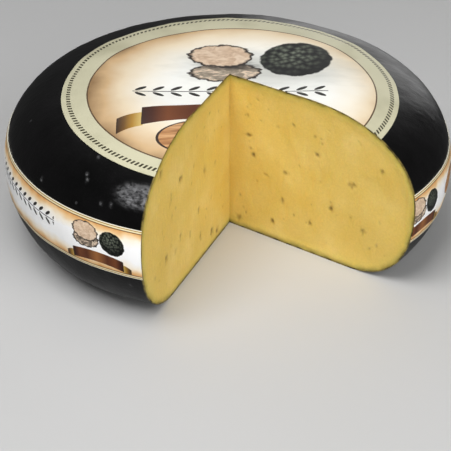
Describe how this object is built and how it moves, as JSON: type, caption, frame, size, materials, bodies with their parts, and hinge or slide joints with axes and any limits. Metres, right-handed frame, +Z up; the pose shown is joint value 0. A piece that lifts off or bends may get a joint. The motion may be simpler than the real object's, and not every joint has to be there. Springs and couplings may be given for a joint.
{
  "type": "cheese wheel",
  "caption": "Round, coated wheel of cheese with a paper label on top and a paper band round its side, resting flat, with one wedge cut out to the middle.",
  "frame": {"origin": "on the wheel's axis, where its flat base rests on the surface", "axes": "+Z up along the wheel's axis, the wedge is missing towards +X and -Y, evenly about the direction 45 degrees between them"},
  "size_m": [0.2514, 0.2514, 0.0957],
  "materials": {
    "cheese_paste": "semi-hard yellow cheese, freshly cut: smooth, slightly waxy, with small pits and dark truffle specks",
    "cheese_coating": "brushed-on black cheese coating, smooth and softly glossy with faint ripples",
    "label_paper": "thin coated label paper, printed, satin"
  },
  "bodies": {
    "root": {"cheese_paste": "cheese_paste", "black_coating": "cheese_coating", "top_label": "label_paper", "side_label": "label_paper"}
  },
  "joints": []
}
